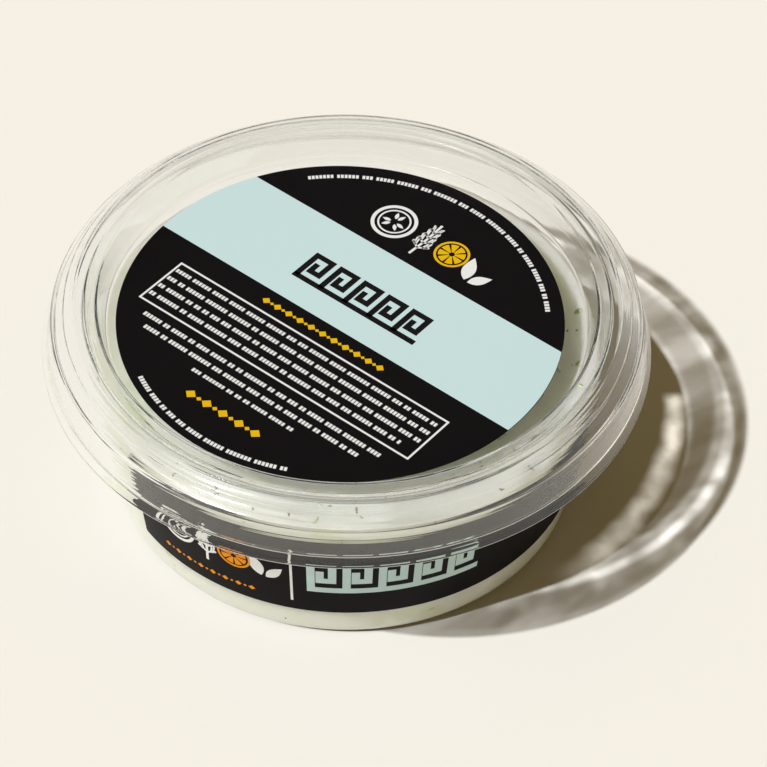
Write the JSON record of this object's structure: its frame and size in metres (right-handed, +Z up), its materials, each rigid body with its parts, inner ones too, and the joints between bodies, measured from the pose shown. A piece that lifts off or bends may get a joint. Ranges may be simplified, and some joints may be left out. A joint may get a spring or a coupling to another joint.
{
  "type": "shut tub of tzatziki dip",
  "caption": "Clear round deli tub of pale tzatziki dip with a clear press-on lid, a dark lid label with a pale stripe, and a dark wrap label; stands on its foot.",
  "frame": {"origin": "centre of the tub's foot, on the surface it stands on", "axes": "+Z up along the tub's axis; -Y is the front, where the wrap label's print faces"},
  "size_m": [0.117, 0.117, 0.0464],
  "materials": {
    "clear_tub": "clear thermoformed PET, glossy",
    "clear_lid": "clear thermoformed PET, glossy",
    "cream_dip": "thick strained yogurt with cucumber and dill, moist satin",
    "lid_print": "black film label, satin gloss, with pale and white print",
    "side_print": "black film label, satin gloss, with pale, white and orange print"
  },
  "bodies": {
    "root": {"tub": "clear_tub", "lid": "clear_lid", "dip": "cream_dip", "lid_label": "lid_print", "side_label": "side_print"}
  },
  "joints": []
}
